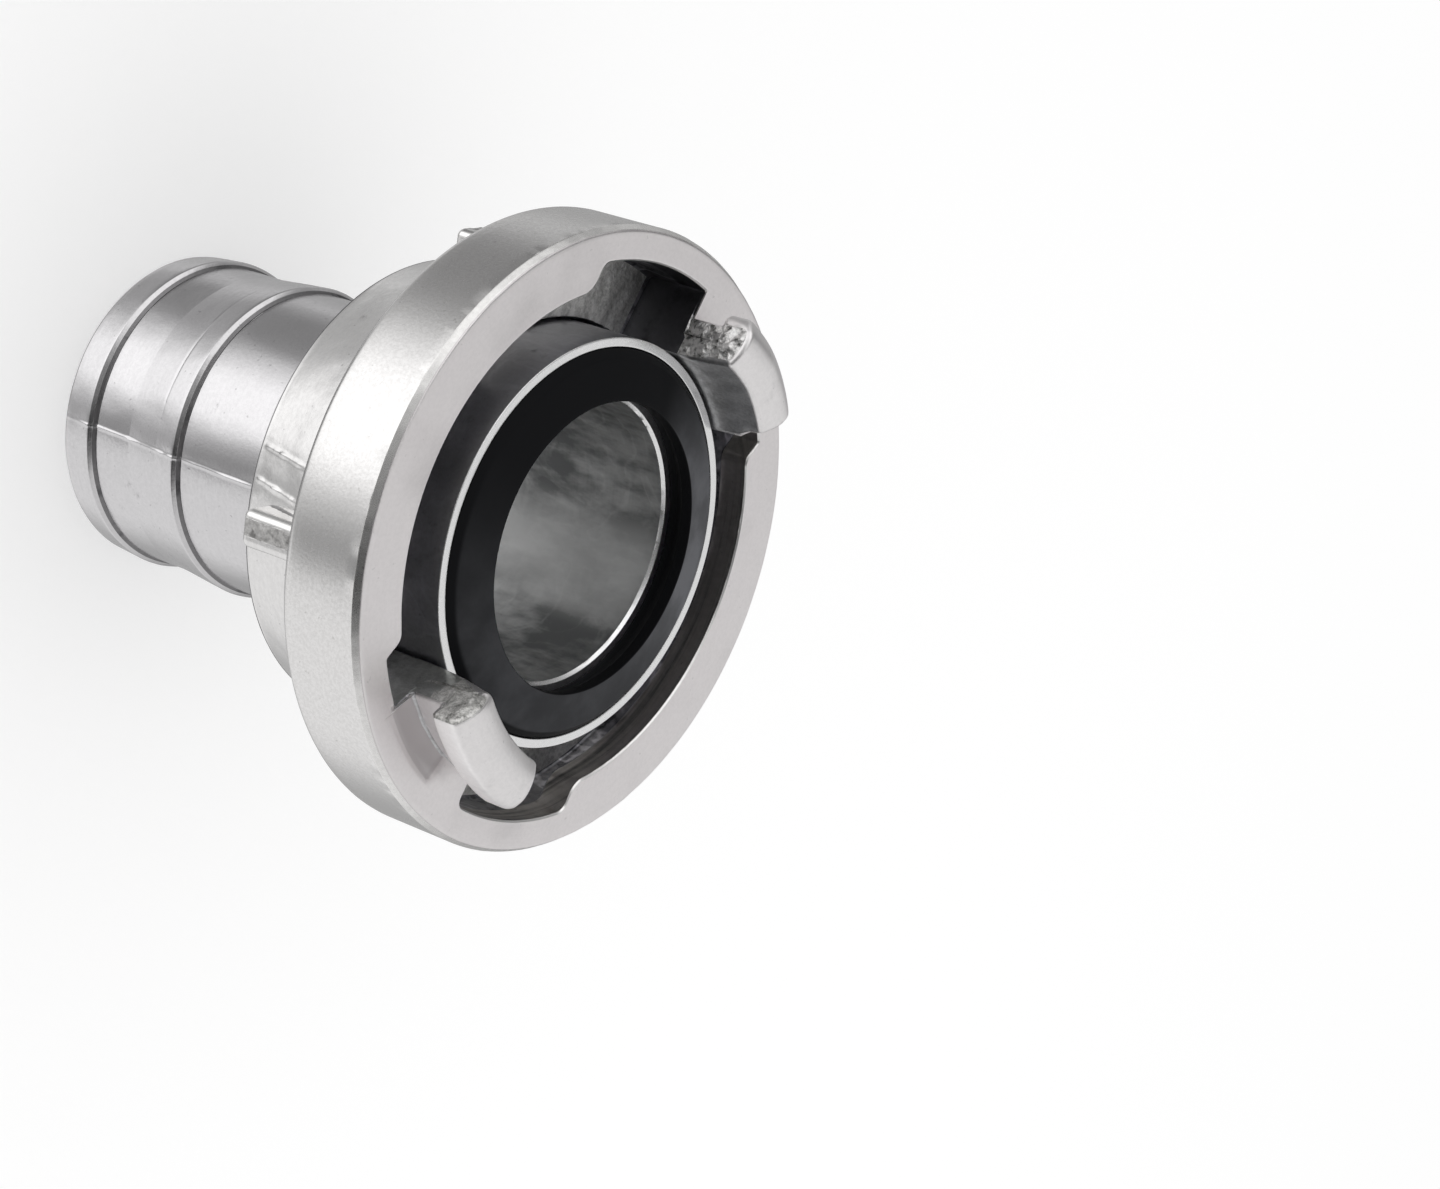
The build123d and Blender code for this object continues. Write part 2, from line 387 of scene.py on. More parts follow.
def rubber(name):
    """Matt black moulded rubber with faint mould lines. Its pale bloom on the front is painted sheen in
    part: besides its own noise it is made stronger on two sides of the ring, by which way each spot faces.
    """
    material, tree, shader = new_material(name)
    shader.inputs["Specular IOR Level"].default_value = 0.05
    scaled, turned, parts, radius = coordinates(tree)
    bloom = remap(tree, noise_at(tree, scaled, 0.12, 5.0, 0.6), 0.3, 0.75, 0.6, 1.2)
    marks = noise_at(tree, turned, 1.2, 3.0, 0.6)
    fine = noise_at(tree, scaled, 3.0, 3.0, 0.6)
    # Painted sheen: the front is made paler on two sides of the ring, by which way it faces; the noise in it
    # is the rubber's own bloom.
    dust_and_sheen = 0.0
    for azimuth, low, high, share in ((-43.0, 0.5, 1.0, 0.75), (229.0, -0.7, 0.9, 0.34)):
        side = remap(tree, facing(tree, parts, radius, azimuth), low, high)
        dust_and_sheen = calc(tree, "MULTIPLY_ADD", side, share, dust_and_sheen)
    top = remap(tree, parts[2], seal_rim_z - 0.4, seal_rim_z)
    top = calc(tree, "MULTIPLY", top, remap(tree, radius, seal_bore_r + 0.05, seal_bore_r + 0.2))
    dust_and_sheen = calc(tree, "MULTIPLY", calc(tree, "MULTIPLY", dust_and_sheen, bloom), top)
    colour = blend_colours(tree, dust_and_sheen, (0.006, 0.0062, 0.007, 1), (0.115, 0.117, 0.126, 1))
    tree.links.new(colour, shader.inputs["Base Color"])
    tree.links.new(calc(tree, "MULTIPLY_ADD", bloom, 0.1, 0.42), shader.inputs["Roughness"])
    add_bump(tree, shader, calc(tree, "MULTIPLY_ADD", marks, 0.012, calc(tree, "MULTIPLY", fine, 0.012)))
    return material


RING_GREY = (0.80, 0.79, 0.785)
TAIL_GREY = (0.68, 0.67, 0.68)
zone_materials = {
    "side": metal("turned_side", RING_GREY, (0.52, 0.51, 0.50), 0.22, lines=0.003, grain=0.016,
                  grain_scale=1.8, specks=0.03, streaks=0.03, mottle=0.26),
    "chamfer": metal("turned_edge", (0.84, 0.83, 0.82), (0.30, 0.29, 0.28), 0.24, grain=0.012, dirt=0.1,
                     dirt_scale=0.5),
    "edge": metal("bright_edge", (0.90, 0.89, 0.88), (0.6, 0.59, 0.58), 0.30, grain=0.03),
    # The face's pocket colour is painted shade in the recesses beside the claws.
    "face": metal("machined_face", (0.85, 0.82, 0.822), (0.62, 0.60, 0.60), 0.36, lines=0.006, grain=0.008,
                  dirt=0.5, dirt_scale=0.045, dirt_edge=0.5, dirt_detail=2.0, specks=0.02,
                  pocket=(0.62, 0.595, 0.60)),
    "hub": metal("cast_hub", RING_GREY, (0.40, 0.39, 0.39), 0.17, grain=0.02, grain_scale=1.2, dirt=0.14,
                 dirt_scale=0.35, specks=0.03, mottle=0.12),
    "tail": metal("cast_tail", TAIL_GREY, (0.36, 0.355, 0.36), 0.19, lines=0.004, grain=0.018, dirt=0.16,
                  dirt_scale=0.25, specks=0.03, mottle=0.1),
    # Painted shade: dark colour for creases and edges where shade falls, at the ring's rear edge, the hub's
    # rear chamfer, the lugs' feet and the barbs' steps.
    "groove": metal("dirty_groove", (0.24, 0.235, 0.24), (0.10, 0.10, 0.105), 0.34, grain=0.04, dirt=0.4),
    "lug": metal("cast_lug", (0.66, 0.65, 0.64), (0.26, 0.255, 0.25), 0.36, grain=0.10, grain_scale=1.6,
                 dirt=0.5, dirt_scale=0.5, mottle=0.4),
    # Painted highlight: the lugs' flanks are coloured near white.
    "lug_side": metal("cast_lug_side", (0.95, 0.94, 0.93), (0.66, 0.65, 0.64), 0.26, grain=0.02),
    "claw": metal("claw_metal", (0.90, 0.88, 0.88), (0.6, 0.59, 0.59), 0.36, grain=0.02, dirt=0.3,
                  dirt_scale=0.3, dirt_edge=0.4, specks=0.02),
    "claw_wall": metal("claw_wall", (0.62, 0.62, 0.63), (0.22, 0.22, 0.225), 0.36, grain=0.04, dirt=0.45,
                       dirt_scale=0.2, dirt_edge=0.35, mottle=0.3),
    "claw_end": metal("claw_end", (0.60, 0.61, 0.59), (0.24, 0.245, 0.23), 0.40, grain=0.10, grain_scale=0.9,
                      dirt=0.4, dirt_scale=0.3, dirt_edge=0.35, mottle=0.3),
    "claw_head": metal("claw_head", (0.84, 0.83, 0.81), (0.30, 0.30, 0.285), 0.42, grain=0.16,
                       grain_scale=2.0, dirt=0.5, dirt_scale=0.6, dirt_edge=0.3, mottle=0.55),
    "broken_end": metal("broken_end", (0.93, 0.92, 0.91), (0.14, 0.14, 0.135), 0.30, grain=0.30,
                        grain_scale=0.9, dirt=0.45, dirt_scale=0.9, mottle=0.3),
    "cavity": metal("dark_cavity", (0.60, 0.59, 0.62), (0.12, 0.12, 0.13), 0.36, grain=0.03, grain_scale=0.8,
                    dirt=0.4, mottle=0.15, film=0.62),
    # Painted shade: near black for the second claw's end below the face and for the first slot's wall beside
    # the claw.
    "block": metal("claw_block", (0.11, 0.11, 0.12), (0.06, 0.06, 0.065), 0.36, grain=0.03, dirt=0.4),
    # Painted light: the pale floor where it shows through the slots, with its own cast grain; the rest of
    # the floor keeps the darker cavity colour.
    "slot_floor": metal("cast_floor", (0.92, 0.915, 0.90), (0.40, 0.40, 0.39), 0.42, grain=0.12,
                        grain_scale=1.4, dirt=0.2, dirt_scale=0.4, mottle=0.5),
    "wall": metal("flange_wall", (0.62, 0.59, 0.565), (0.08, 0.08, 0.08), 0.32, grain=0.03, grain_scale=0.8,
                  dirt=0.55, dirt_scale=0.5, dirt_edge=0.3, dirt_turned=True),
    "collar": metal("collar_wall", (0.84, 0.84, 0.87), (0.42, 0.42, 0.44), 0.32, lines=0.01, dirt=0.3,
                    film=0.15),
    "lip": metal("polished_lip", (0.90, 0.90, 0.90), (0.7, 0.7, 0.7), 0.25, lines=0.004),
    # Painted reflection: the bore is lighter along the side that faces azimuth 290.7.
    "bore": metal("waterway_bore", (0.99, 0.99, 0.985), (0.31, 0.315, 0.32), 0.30, lines=0.004, grain=0.02,
                  grain_scale=0.5, dirt=0.76, dirt_scale=0.13, dirt_edge=0.32, dirt_stretch=0.4, mottle=0.05,
                  film=0.16, reflection_side=290.7),
}
seal_rubber = rubber("seal_rubber")
wire_steel = metal("drawn_wire", (0.56, 0.56, 0.57), (0.40, 0.40, 0.41), 0.28, lines=0.004)
ZONES = list(zone_materials)
MATERIALS = list(zone_materials.values())


# Parting lines of the moulds, on both sides of the part

hub_line_angle = 131.0  # where the line meets the ring
hub_line_lean = 0.17  # degrees to a millimetre
hub_line_gap = 8.0  # from the line to a second one beside it
tail_line_angle = 134.5  # at the hose end
tail_line_lean = 2.5 / 47.0  # degrees to a millimetre
flash_height = 0.12
flash_width = 0.25


def hub_parting(height):
    """Angle of the hub's parting line."""
    return hub_line_angle - hub_line_lean * (ring_rear_z - height)


def tail_parting(height):
    """Angle of the hose tail's parting line, which runs a little askew."""
    return tail_line_angle + tail_line_lean * height


def parting_lift(angle, height, line, lumps=0.35):
    """Height of the ragged flash left along a parting line."""
    away = abs((angle - line + 90) % 180 - 90) * math.radians(1) * tail_valley_r
    wobble = noise.noise(Vector((height * 1.3, 3.0, angle * 0.01)))
    return max(flash_height + lumps * wobble, 0) * math.exp(-(away / flash_width) ** 2)


# Lug ring

def mouth_radius():
    """Radius of the flange's inner edge by angle: two slots and two reliefs, with their corners rounded."""
    unroll = math.radians(1) * (flange_inner_r + groove_r) / 2
    hidden_r = claw_stem_r - 1.2
    claw_side = 180 - claw_half_angle
    corners = []
    for turn, slot_round in ((0, 0.3), (180, 1.6)):
        half = [
            (claw_half_angle - 0.2, hidden_r, 0),
            (claw_half_angle, groove_r, slot_round),
            (slot_end_angle, groove_r, slot_corner_round),
            (slot_entry_angle, flange_inner_r, slot_entry_round),
            (180 - relief_entry_angle, flange_inner_r, relief_entry_round),
            (180 - relief_end_angle, relief_r, 0.6),
            (claw_side + 0.3, relief_r, 0),
            (claw_side + 0.5, hidden_r, 0),
        ]
        corners += [((angle + turn) * unroll, radius, fillet, 1, "") for angle, radius, fillet in half]
    points, _ = trace(corners, closed=False)
    return points[:, 0] / unroll, points[:, 1]


mouth_angles, mouth_radii = mouth_radius()


def fine_angles(*lines):
    """Even steps round the axis, closer together beside these lines and opposite them."""
    extra = [np.arange(line - 2, line + 2, 0.25) + turn for line in lines for turn in (0, 180)]
    return np.unique(np.round(np.concatenate([np.arange(0, 360, 0.75), *extra]) % 360, 4))


def body_angles():
    """Angles of the ring's grid: fine along the hub's leaning lines, with the mouth's own corners added."""
    lines = [hub_line_angle - back for back in (0, 2, 10)]
    clear = [a for a in fine_angles(*lines) if np.min(np.abs(mouth_angles - a)) > 0.12]
    return np.unique(np.round(np.concatenate([clear, mouth_angles % 360]), 4))


def body_outline(mouth_r):
    """Section of the ring where the flange's inner edge has this radius."""
    chamfer_width, chamfer_height = 0.75, 1.15
    shoulder_z = collar_rear_z - 0.3
    corners = [
        (ring_bore_r, hub_rear_z, 0.3, 3, "hub"),
        (hub_rear_r - hub_rear_chamfer, hub_rear_z, 0.2, 3, "hub"),
        # Painted shade: a thin dark line at the end of the hub's rear chamfer.
        (hub_rear_r, hub_rear_z + hub_rear_chamfer, 0, 1, "groove"),
        (hub_rear_r, hub_rear_z + hub_rear_chamfer + 0.2, 0, 24, "hub"),
        (hub_front_r, ring_rear_z, 2.5, 4, "hub"),
        (ring_r, ring_rear_z, 1.8, 6, "side"),
        (ring_r, face_z - chamfer_height, 0.25, 5, "chamfer"),
        (ring_r - chamfer_width, face_z, 0.45, 15, "face"),
        (mouth_r + 0.3, face_z, 0.12, 2, "edge"),
        (mouth_r, face_z - 0.3, 0.12, 5, "wall"),
        (mouth_r, roof_z, 0.3, 3, "cavity"),
        (groove_r, roof_z, 0.4, 4, "cavity"),
        (groove_r, floor_z, 0.8, 8, "cavity"),
        (claw_inner_r, floor_z, 0.3, 1, "cavity"),
        (claw_inner_r, shoulder_z, 0, 1, "cavity"),
        (ring_bore_r, shoulder_z, 0, 1, "cavity"),
        *wire_groove(1.5, outward=True),
    ]
    points, zones = trace(corners)
    # Painted shade: the side's last stretch at the ring's rear edge takes the dark crease colour, as shade
    # between the ring and the hub.
    shaded_edge_z = ring_rear_z + 0.7
    zones = ["groove" if zone == "side" and height < shaded_edge_z else zone
             for zone, (_, height) in zip(zones, points)]
    return points, zones


def recess_depth(radius, angle):
    """Depth of the shallow pocket that is cut into the face beside each claw."""
    inner_r, middle_r, outer_r = 39.0, 42.0, 44.8
    start, end = -17.6, 4.9
    depth, slope_width = 0.3, 0.7
    turn = (angle + 90) % 180 - 90
    arc = math.radians(1) * middle_r
    edge = min(radius - inner_r, outer_r - radius, (turn - start) * arc, (end - turn) * arc)
    share = min(max(edge / slope_width, 0), 1)
    return depth * share * share * (3 - 2 * share)


def paint_slots(body):
    """Paints light on the slots' floors, which are pale where they show through the slots, and paints shade
    on the first slot's wall beside the claw, which is near black.
    """
    lit_floor_start, lit_floor_end = 17, 80
    shaded_wall_start, shaded_wall_end = 16, 46
    for face in body.data.polygons:
        turn = math.degrees(math.atan2(face.center.y, face.center.x)) % 360
        if abs(face.center.z / MM - floor_z) < 0.05 and lit_floor_start < turn % 180 < lit_floor_end:
            face.material_index = ZONES.index("slot_floor")
        elif face.material_index == ZONES.index("wall") and shaded_wall_start < turn < shaded_wall_end:
            face.material_index = ZONES.index("block")


def ring_body():
    """Grip ring, hub, flange and cavity in one closed grid."""
    angles = body_angles()
    radii = np.interp(angles, mouth_angles, mouth_radii, period=360)
    flash_low_z, flash_high_z = hub_rear_z + 2, ring_rear_z - 1
    outlines = []
    for angle, radius in zip(angles, radii):
        points, zones = body_outline(radius)
        for k, point in enumerate(points):
            if point[1] > face_z - 0.35:
                point[1] -= recess_depth(point[0], angle)
            if zones[k] == "hub" and flash_low_z < point[1] < flash_high_z:
                height = point[1]
                line = hub_parting(height)
                point[0] += parting_lift(angle, height, line, lumps=0.6)
                point[0] += parting_lift(angle, height, line - hub_line_gap, lumps=0.5)
        outlines.append(points)
    body = make_mesh("lug_ring_body", *turned_grid(angles, np.array(outlines), zones, ZONES), MATERIALS)
    paint_slots(body)
    return body


claw_degree = math.radians(1) * claw_stem_r  # arc of one degree at the stem
claw_end_rings = 5  # rings that round each end
hook_low_z = hook_z - 0.3  # points of the stem and the hook above this are the hook's


def claw_outline():
    """Section of a claw: a block in the cavity, the stem and the hook."""
    bottom = floor_z - 0.4
    foot_r = groove_r + 0.4
    lead_r = claw_inner_r + claw_lead
    crown = []
    for t in np.linspace(0.2, 0.8, 9):
        rise = claw_crown_rise * (1 - (2 * t - 1) ** 2)
        crown.append((lead_r + (claw_hook_r - lead_r) * t, claw_top_z + rise, 0, 1, "claw"))
    return trace([
        (claw_inner_r + 0.15, bottom, 0, 1, "cavity"),
        (claw_inner_r, floor_z + 0.2, 0, 8, "claw_wall"),
        (claw_inner_r, face_z, 0, 10, "claw_wall"),
        (lead_r, claw_top_z, 1.0, 2, "claw"),
        *crown,
        (claw_hook_r, claw_top_z, 1.4, 4, "claw"),
        (claw_hook_r, hook_z + 0.7, 0.5, 1, "claw"),
        (claw_hook_r - 0.7, hook_z, 0.5, 2, "claw"),
        (claw_stem_r, hook_z, 0.5, 5, "claw"),
        (claw_stem_r, face_z - 0.02, 0.5, 1, "claw_wall"),
        (claw_stem_r + 0.5, face_z - 0.45, 0, 6, "cavity"),
        (foot_r, face_z - 0.6, 0, 10, "cavity"),
        (foot_r, bottom, 0, 10, "cavity"),
    ])


def close_claw(mesh, ring, rim, middle, turn, outward, low_zone, high_zone, zone_z):
    """Closes one end of a claw by rings of points that run inwards from its rim and bulge outward.

    ring holds the numbers of the rim's points. The zone changes at the height zone_z.
    """
    verts, faces, slots = mesh
    size = len(rim)
    for share in (0.12, 0.24, 0.36, 0.48, 0.6, 0.72, 0.82, 0.91):
        points = rim * (1 - share) + middle * share
        start = len(verts)
        for r, z in points:
            bulge = 0.6 * math.sin(share * math.pi / 2) * min(max((z - face_z) / 4, 0), 1)
            angle = math.radians(turn + outward * bulge)
            verts.append([r * math.cos(angle), r * math.sin(angle), z])
        for k in range(size):
            m = (k + 1) % size
            faces.append((ring[k], ring[m], start + m, start + k))
            slots.append(ZONES.index(high_zone if points[k, 1] > zone_z else low_zone))
        ring = range(start, start + size)
    high = [k for k in range(size) if points[k, 1] >= face_z - 0.5]
    first, last = high[0], high[-1]
    faces.append(list(ring[first:last + 1]))
    slots.append(ZONES.index(high_zone))
    faces.append([*ring[last:], *ring[:first + 1]])
    slots.append(ZONES.index(low_zone))


def claw_rings(outline):
    """The claw's section at each angle across it, with all rounds but the section's own."""
    along = np.roll(outline, -1, axis=0) - np.roll(outline, 1, axis=0)
    along /= np.maximum(np.linalg.norm(along, axis=1), 1e-9)[:, None]
    inward = np.stack([along[:, 1], -along[:, 0]], axis=1)

    # Rounds: of both ends' edges, of the hook at one end and of the inner top corner at the other
    edge_round, hook_round, head_round, head_length = 0.8, 2.2, 1.1, 2.4
    hook_reach = claw_hook_r - claw_stem_r
    share_of_round = np.where(outline[:, 1] > hook_low_z, 1.0, 0.4)[:, None]
    from_corner = np.hypot(outline[:, 0] - claw_inner_r - claw_lead, outline[:, 1] - claw_top_z)[:, None]
    near_corner = head_round * np.exp(-(from_corner / 3.0) ** 2)
    arcs = np.linspace(0, math.pi / 2, claw_end_rings)
    starts = [-claw_half_angle + edge_round * (1 - math.cos(a)) / claw_degree for a in arcs]
    inner = np.arange(-claw_half_angle + 1.2, claw_half_angle - 1.1, 0.6)
    turns = [*starts, *inner, *[-turn for turn in starts[::-1]]]
    outlines = []
    for turn in turns:
        gap = (claw_half_angle - abs(turn)) * claw_degree
        inset = edge_round - math.sqrt(max(edge_round ** 2 - max(edge_round - gap, 0) ** 2, 0))
        points = outline + inward * inset * share_of_round
        hook_gap = max(hook_round - (claw_half_angle - turn) * claw_degree, 0)
        drop = (hook_round - math.sqrt(max(hook_round ** 2 - hook_gap ** 2, 0))) / hook_reach
        over = (points[:, 0] > claw_stem_r) & (points[:, 1] > hook_low_z)
        points[over, 0] = claw_stem_r + (points[over, 0] - claw_stem_r) * (1 - 0.9 * drop)
        head_gap = min(max(1 - (turn + claw_half_angle) * claw_degree / head_length, 0), 1)
        points += inward * near_corner * (1 - math.sqrt(1 - head_gap ** 2))
        outlines.append(points)
    return turns, np.array(outlines)


def claw(side):
    """One claw with rounded ends. side is the angle of its middle."""
    outline, zones = claw_outline()
    turns, outlines = claw_rings(outline)
    size = len(outline)
    mesh = turned_grid(np.array(turns) + side, outlines, zones, ZONES, closed=False)
    slots = mesh[2]
    for i in range(claw_end_rings - 1):
        for k, (radius, height) in enumerate(outline):
            if height > face_z + 3 and zones[k] == "claw_wall":
                slots[i * size + k] = ZONES.index("claw")
            if i < 3 and height > hook_z and radius > claw_inner_r + 1.6:
                slots[i * size + k] = ZONES.index("claw_head")

    # Both ends close towards a line inside the claw, and inside the hook it lies lower
    middle_r, middle_top_z = 36.4, face_z + 8.2
    heights = np.clip(outline[:, 1] * 0.96 + 0.04 * face_z, floor_z + 1, middle_top_z)
    over = (outline[:, 0] > claw_stem_r - 0.1) & (outline[:, 1] > hook_low_z)
    heights[over] = hook_z + 1.2 + 0.3 * (outline[over, 1] - hook_z)
    middle = np.stack([np.full(size, middle_r), heights], axis=1)
    last = (len(turns) - 1) * size
    close_claw(mesh, range(size), outlines[0], middle, turns[0] + side, -1 / claw_degree,
               "claw_end", "claw_head", hook_z - 1.5)
    # Painted shade: below the face the second end is near black.
    close_claw(mesh, range(last, last + size), outlines[-1], middle, turns[-1] + side, 1 / claw_degree,
               "block", "broken_end", face_z - 0.5)
    return make_mesh(f"claw_{side}", *mesh, MATERIALS)


def wear_down(piece):
    """Slopes the crown of the first claw down towards its outer edge and its square end."""
    end_drop, edge_slope, end_turn = 1.1, 0.4, 1.6
    for vert in piece.data.vertices:
        x, y, z = vert.co / MM
        turn = math.degrees(math.atan2(y, x))
        radius = math.hypot(x, y)
        high = min(max((z - hook_z + 0.5) / 3, 0), 1)
        back = min(max((4 - turn) / 20, 0), 1)
        z -= high * (end_drop * back + edge_slope * max(radius - claw_stem_r, 0))
        turn = math.radians(turn + end_turn * high * back)
        vert.co = Vector((radius * math.cos(turn), radius * math.sin(turn), z)) * MM


def lug_zone(axis, width_share, radius, height):
    """Zone of a spot on a spanner lug: its flanks with a painted highlight, its worn crest, and a painted
    shade line along its foot.
    """
    cone = (hub_front_r - hub_rear_r) / (ring_rear_z - hub_rear_z)
    foot_r = hub_rear_r + cone * (height - hub_rear_z)
    foot_line, flank_share, crest_share = 0.4, 0.2, 0.66
    # Painted shade: a dark line along the lug's foot.
    if axis == 1 and radius < foot_r + foot_line:
        return "groove"
    # Painted highlight: the flanks take a near-white colour.
    if axis == 1 or width_share < flank_share:
        return "lug_side"
    return "lug" if width_share < crest_share else "hub"


def spanner_lug(angle):
    """One spanner lug: a box with round edges, sunk into the hub and the ring."""
    hub_sink, ring_sink = 3.0, 2.5
    low = np.array([hub_rear_r - hub_sink, -lug_width / 2, lug_low_z])
    high = np.array([lug_r, lug_width / 2, ring_rear_z + ring_sink])
    edge_round = 1.3
    steps = [36, 36, 60]
    turn = math.radians(angle)
    verts, faces, slots = [], [], []
    for axis in range(3):
        p, q = [k for k in range(3) if k != axis]
        for end in (0, 1):
            start = len(verts)
            for i in range(steps[p] + 1):
                for j in range(steps[q] + 1):
                    shares = np.full(3, float(end))
                    shares[p] = i / steps[p]
                    shares[q] = j / steps[q]
                    spot = low + (high - low) * shares
                    if i < steps[p] and j < steps[q]:
                        a = start + i * (steps[q] + 1) + j
                        b = a + steps[q] + 1
                        faces.append((a, b, b + 1, a + 1))
                        slots.append(ZONES.index(lug_zone(axis, shares[1], spot[0], spot[2])))
                    core = np.clip(spot, low + edge_round, high - edge_round)
                    out = spot - core
                    x, y, z = core + out / max(np.linalg.norm(out), 1e-9) * edge_round
                    verts.append([x * math.cos(turn) - y * math.sin(turn),
                                  x * math.sin(turn) + y * math.cos(turn), z])
    return make_mesh(f"spanner_lug_{angle:.0f}", verts, faces, slots, MATERIALS)


def lug_ring():
    """The whole lug ring as one closed piece."""
    body = ring_body()
    roughen(body, 1, ZONES, hub=[(0.10, 5.0), (0.02, 1.5)], side=[(0.012, 6.0)], chamfer=[(0.06, 3.0)],
            face=[(0.02, 7.0)], cavity=[(0.06, 4.0)], wall=[(0.08, 3.0)], slot_floor=[(0.12, 2.0)])
    extras = []
    for side in (0, 180):
        part = claw(side)
        if side == 0:
            wear_down(part)
        roughen(part, 2 + side, ZONES, claw=[(0.05, 4.0)], claw_end=[(0.12, 3.0)], claw_wall=[(0.12, 3.0)],
                claw_head=[(0.16, 2.4), (0.1, 1.0)], broken_end=[(0.5, 1.6), (0.25, 0.8)])
        extras.append(part)
    for k in range(4):
        part = spanner_lug(lug_angle + 90 * k)
        roughen(part, 5 + k, ZONES, lug=[(0.10, 3.0), (0.10, 1.1)], lug_side=[(0.03, 3.0)])
        extras.append(part)
    unite(body, extras)
    body.name = "lug_ring_metal"
    shade(body)
    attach(body, "ring")
    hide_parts("lug_ring")


# Hose tail

def barb(height):
    """Corners of a barb's crest and of the step behind it."""
    return [
        (tail_crest_r, height, 0.35, 3, "tail"),
        # Painted shade: the step behind the crest takes the dark crease colour.
        (tail_valley_r + 0.42, height + barb_step * 0.6, 0, 1, "groove"),
        (tail_valley_r - 0.12, height + barb_step * 0.95, 0.12, 1, "groove"),
        (tail_valley_r, height + barb_step + 0.3, 0.1, 8, "tail"),
    ]


def hose_tail():
    """Barbed tail, neck and collar, with the waterway and the seal's seat."""
    tool_line_z = 21.2
    tool_line_r = tail_crest_r - (second_barb_z - tool_line_z) / barb_taper
    tool_line_depth = 0.07
    tool_line_angle, tool_line_spread = 101, 28
    tool_line = [(tool_line_r + d / barb_taper, tool_line_z + d, 0, 1, "tail")
                 for d in (-0.6, -0.15, 0, 0.15, 0.6)]
    groove = [(*corner[:4], "collar") for corner in wire_groove(1.35, outward=False)]
    corners = [
        (waterway_r, waterway_chamfer, 0.2, 1, "bore"),
        (waterway_r + waterway_chamfer, 0, 0.2, 1, "tail"),
        (tail_end_r, 0, 0.6, 6, "tail"),
        *barb(first_barb_z),
        (tail_valley_r, second_barb_z - barb_taper, 2.0, 6, "tail"),
        *tool_line,
        (tool_line_r + 1 / barb_taper, tool_line_z + 1, 0, 5, "tail"),
        *barb(second_barb_z),
        (tail_valley_r, neck_rear_z - 3.0, 1.5, 3, "tail"),
        (neck_r, neck_rear_z, 0.6, 2, "collar"),
        *groove[::-1],
        (neck_r, collar_rear_z, 0, 1, "collar"),
        (collar_r, collar_rear_z, 0.3, 6, "collar"),
        (collar_r, face_z, 0.15, 6, "lip"),
        (lip_inner_r, face_z, 0.15, 1, "lip"),
        (lip_inner_r, face_z - 0.7, 0, 1, "collar"),
        (lip_inner_r + 0.5, seat_floor_z, 0, 3, "collar"),
        (waterway_r + waterway_chamfer, seat_floor_z, 0.1, 1, "lip"),
        (waterway_r, seat_floor_z - waterway_chamfer, 0.1, 40, "bore"),
    ]
    outline, zones = trace(corners)
    angles = fine_angles(tail_line_angle + 0.5, tail_line_angle + 2.0)
    outlines = np.repeat(outline[None], len(angles), axis=0)
    for i, angle in enumerate(angles):
        line_share = max(1 - ((angle - tool_line_angle) / tool_line_spread) ** 2, 0.15)
        for k, (radius, height) in enumerate(outline):
            if zones[k] in ("tail", "groove") and radius > tail_valley_r - 0.5 and height < neck_rear_z - 3:
                outlines[i, k, 0] += parting_lift(angle, height, tail_parting(height))
            if abs(height - tool_line_z) < 0.01 and radius > tail_valley_r:
                outlines[i, k, 0] -= tool_line_depth * line_share
    piece = make_mesh("hose_tail_metal", *turned_grid(angles, outlines, zones, ZONES), MATERIALS)
    roughen(piece, 11, ZONES, tail=[(0.07, 6.0), (0.02, 2.0)], bore=[(0.08, 7.0)])
    for vert in piece.data.vertices:  # none goes below the end face
        vert.co.z = max(vert.co.z, 0)
    shade(piece)
    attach(piece, "tail")
    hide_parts("hose_tail")


def pressure_seal():
    """Rubber seal: a foot in the seat and a sloped front with a thinner bore edge."""
    corners = [
        (seal_undercut_r, seat_floor_z, 0.2, 2, "seal"),
        (seal_r, seat_floor_z, 0.2, 2, "seal"),
        (lip_inner_r - 0.1, face_z - 0.7, 0, 2, "seal"),
        (lip_inner_r - 0.1, face_z - 0.1, 0.3, 2, "seal"),
        (seal_rim_r, seal_rim_z, 0.9, 10, "seal"),
        (seal_bore_r, seal_front_z, 0.15, 2, "seal"),
        (seal_bore_r, seal_front_z - 2.0, 0.3, 2, "seal"),
        (seal_undercut_r, seal_front_z - 4.0, 0.3, 2, "seal"),
    ]
    outline, zones = trace(corners)
    angles = np.arange(0, 360, 1.0)
    grid = turned_grid(angles, np.repeat(outline[None], len(angles), axis=0), zones, ["seal"])
    piece = make_mesh("seal_rubber_ring", *grid, [seal_rubber])
    roughen(piece, 21, ["seal"], seal=[(0.05, 9.0)])
    shade(piece)
    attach(piece, "tail")
    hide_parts("seal")


# Studio

